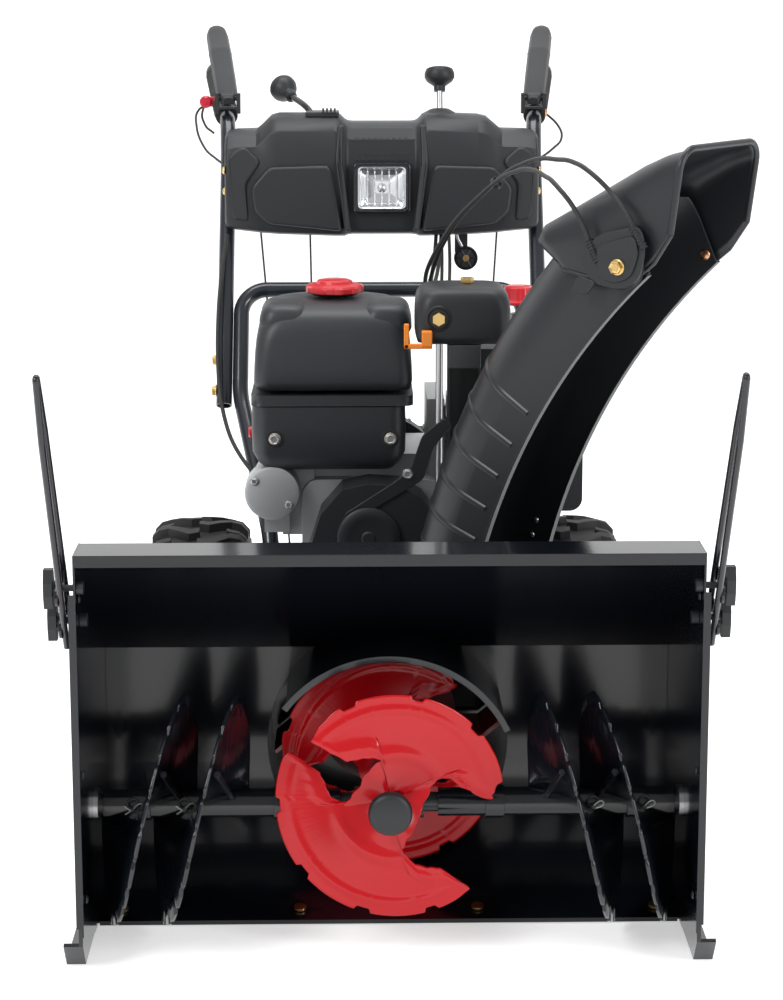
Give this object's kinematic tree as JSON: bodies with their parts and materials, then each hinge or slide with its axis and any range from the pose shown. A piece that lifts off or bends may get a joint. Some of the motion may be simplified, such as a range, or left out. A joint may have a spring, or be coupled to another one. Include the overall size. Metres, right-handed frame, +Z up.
{
  "type": "snowblower",
  "caption": "Wheeled walk-behind snow thrower with serrated side augers, a red accelerator, an impeller, a turning chute with a tilting hood, an engine and a handle console.",
  "frame": {"origin": "centre of the overall bounding box on the ground plane", "axes": "+X is the machine's left-to-right direction seen from the front, +Y runs from the auger intake back to the handles, +Z is up"},
  "size_m": [0.869, 1.5239, 1.1185],
  "materials": {
    "black_paint": "glossy powder coat",
    "red_paint": "gloss powder coat",
    "frame_paint": "satin powder coat",
    "steel": "bright turned steel",
    "yellow_zinc": "yellow zinc plating",
    "cast_aluminium": "as cast",
    "gear_iron": "painted casting",
    "black_plastic": "fine grain",
    "grey_plastic": "fine grain",
    "red_plastic": "gloss",
    "rubber": "matte",
    "tyre": "matte",
    "clear_lens": "clear moulding",
    "cable_sheath": "satin sheath"
  },
  "bodies": {
    "machine": {"auger_housing": "black_paint", "side_plates": "black_paint", "scraper_bar": "frame_paint", "skid_shoes": "black_paint", "drift_cutters": "black_paint", "shaft_bearings": "steel", "auger_gearbox": "gear_iron", "tunnel_shroud": "black_paint", "drive_belts": "rubber", "tractor_frame": "frame_paint", "belt_cover": "black_plastic", "engine_block": "cast_aluminium", "engine_cover": "grey_plastic", "fuel_tank": "grey_plastic", "electric_starter": "cast_aluminium", "muffler_guard": "frame_paint", "recoil_housing": "black_plastic", "chute_head": "black_plastic", "control_brackets": "frame_paint", "handle_tubes": "black_paint", "grips": "rubber", "dash_panel": "black_plastic", "headlight": "clear_lens", "fasteners": "yellow_zinc", "control_wires": "cable_sheath", "drive_shaft": "steel", "pitch_cables": "cable_sheath"},
    "auger": {"auger_shaft": "steel", "augers_left": "black_paint", "augers_right": "black_paint", "shear_pins": "yellow_zinc"},
    "impeller_train": {"impeller_shaft": "steel", "accelerator_front": "red_paint", "accelerator_rear": "red_paint", "impeller": "red_paint", "impeller_pulley": "steel"},
    "crank": {"crank_pulley": "steel"},
    "friction_plate": {"friction_disc": "steel"},
    "friction_slider": {"friction_wheel": "rubber"},
    "wheel_left": {"axle_left": "steel", "rim_left": "red_paint", "tyre_left": "tyre"},
    "wheel_right": {"axle_right": "steel", "rim_right": "red_paint", "tyre_right": "tyre"},
    "chute_body": {"chute": "black_paint", "pitch_bracket": "frame_paint"},
    "deflector_body": {"deflector": "black_paint"},
    "pinion_body": {"chute_pinion": "steel"},
    "knob_lu": {"knob_left_upper": "black_plastic"},
    "knob_ll": {"knob_left_lower": "black_plastic"},
    "knob_ru": {"knob_right_upper": "black_plastic"},
    "knob_rl": {"knob_right_lower": "black_plastic"},
    "fuel_cap_body": {"fuel_cap": "red_plastic"},
    "oil_cap_body": {"oil_cap": "red_plastic"},
    "shift_lever_body": {"shift_lever": "black_plastic"},
    "joystick_body": {"joystick": "black_plastic"},
    "auger_lever_body": {"auger_lever": "black_plastic"},
    "drive_lever_body": {"drive_lever": "black_plastic"},
    "recoil_handle_body": {"recoil_handle": "black_plastic"}
  },
  "joints": [
    {"name": "impeller_spin", "type": "hinge", "parent": "machine", "child": "impeller_train", "pos_m": [-0.0227, -0.29251, 0.195], "axis": [0, 1, 0], "continuous": true},
    {"name": "auger_spin", "type": "hinge", "parent": "machine", "child": "auger", "pos_m": [-0.0227, -0.44851, 0.168], "axis": [1, 0, 0], "continuous": true},
    {"name": "crank_spin", "type": "hinge", "parent": "machine", "child": "crank", "pos_m": [-0.0427, -0.09251, 0.438], "axis": [0, 1, 0], "continuous": true},
    {"name": "friction_disc_spin", "type": "hinge", "parent": "machine", "child": "friction_plate", "pos_m": [-0.0227, -0.07251, 0.214], "axis": [0, 1, 0], "continuous": true},
    {"name": "wheel_left_spin", "type": "hinge", "parent": "machine", "child": "wheel_left", "pos_m": [-0.2947, 0.10749, 0.203], "axis": [1, 0, 0], "continuous": true},
    {"name": "wheel_right_spin", "type": "hinge", "parent": "machine", "child": "wheel_right", "pos_m": [0.2493, 0.10749, 0.203], "axis": [1, 0, 0], "continuous": true},
    {"name": "chute_turn", "type": "hinge", "parent": "machine", "child": "chute_body", "pos_m": [0.0863, -0.24311, 0.4], "axis": [0, 0, 1], "range_deg": [-134, 38], "deforming": ["pitch_cables"]},
    {"name": "chute_pinion_spin", "type": "hinge", "parent": "machine", "child": "pinion_body", "pos_m": [0.0506, -0.13484, 0.4], "axis": [0, 0, 1], "range_deg": [-203, 716]},
    {"name": "deflector_tilt", "type": "hinge", "parent": "chute_body", "child": "deflector_body", "pos_m": [0.31718, -0.4235, 0.86], "axis": [-0.6157, -0.788, 0], "range_deg": [-40, 6]},
    {"name": "joystick_tilt", "type": "hinge", "parent": "machine", "child": "joystick_body", "pos_m": [0.0693, 0.39549, 0.94], "axis": [0, 1, 0], "range_deg": [-15, 4]},
    {"name": "shift_lever_swing", "type": "hinge", "parent": "machine", "child": "shift_lever_body", "pos_m": [-0.1257, 0.39249, 0.93], "axis": [1, 0, 0], "range_deg": [-10, 14]},
    {"name": "friction_wheel_slide", "type": "slide", "parent": "machine", "child": "friction_slider", "axis": [1, 0, 0], "range_m": [-0.04, 0.055]},
    {"name": "auger_lever_squeeze", "type": "hinge", "parent": "machine", "child": "auger_lever_body", "pos_m": [0.2213, 0.47349, 1.008], "axis": [-1, 0, 0], "range_deg": [0, 9], "stiffness_Nm_per_rad": 4, "springref_deg": -68.75},
    {"name": "drive_lever_squeeze", "type": "hinge", "parent": "machine", "child": "drive_lever_body", "pos_m": [-0.2667, 0.47349, 1.008], "axis": [-1, 0, 0], "range_deg": [0, 9], "stiffness_Nm_per_rad": 4, "springref_deg": -68.75},
    {"name": "fuel_cap_turn", "type": "hinge", "parent": "machine", "child": "fuel_cap_body", "pos_m": [-0.0937, 0.02749, 0.76], "axis": [0, 0, 1], "continuous": true},
    {"name": "oil_cap_turn", "type": "hinge", "parent": "machine", "child": "oil_cap_body", "pos_m": [0.1753, 0.10749, 0.74], "axis": [0, 0, 1], "continuous": true},
    {"name": "knob_left_upper_turn", "type": "hinge", "parent": "machine", "child": "knob_lu", "pos_m": [-0.4127, -0.58251, 0.487], "axis": [1, 0, 0], "continuous": true},
    {"name": "knob_left_lower_turn", "type": "hinge", "parent": "machine", "child": "knob_ll", "pos_m": [-0.4127, -0.55251, 0.439], "axis": [1, 0, 0], "continuous": true},
    {"name": "knob_right_upper_turn", "type": "hinge", "parent": "machine", "child": "knob_ru", "pos_m": [0.3673, -0.58251, 0.487], "axis": [1, 0, 0], "continuous": true},
    {"name": "knob_right_lower_turn", "type": "hinge", "parent": "machine", "child": "knob_rl", "pos_m": [0.3673, -0.55251, 0.439], "axis": [1, 0, 0], "continuous": true},
    {"name": "recoil_pull", "type": "slide", "parent": "machine", "child": "recoil_handle_body", "axis": [0, 1, 0], "range_m": [0, 0.5], "stiffness_N_per_m": 15, "springref_m": -0.6}
  ],
  "couplings": [
    {"joint": "auger_spin", "follows": "impeller_spin", "ratio": 0.1},
    {"joint": "crank_spin", "follows": "impeller_spin", "ratio": 3},
    {"joint": "friction_disc_spin", "follows": "impeller_spin", "ratio": 1.5},
    {"joint": "chute_pinion_spin", "follows": "chute_turn", "ratio": -5.3333},
    {"joint": "joystick_tilt", "follows": "chute_turn", "ratio": 0.1},
    {"joint": "friction_wheel_slide", "follows": "shift_lever_swing", "m_per_rad": 0.2}
  ]
}
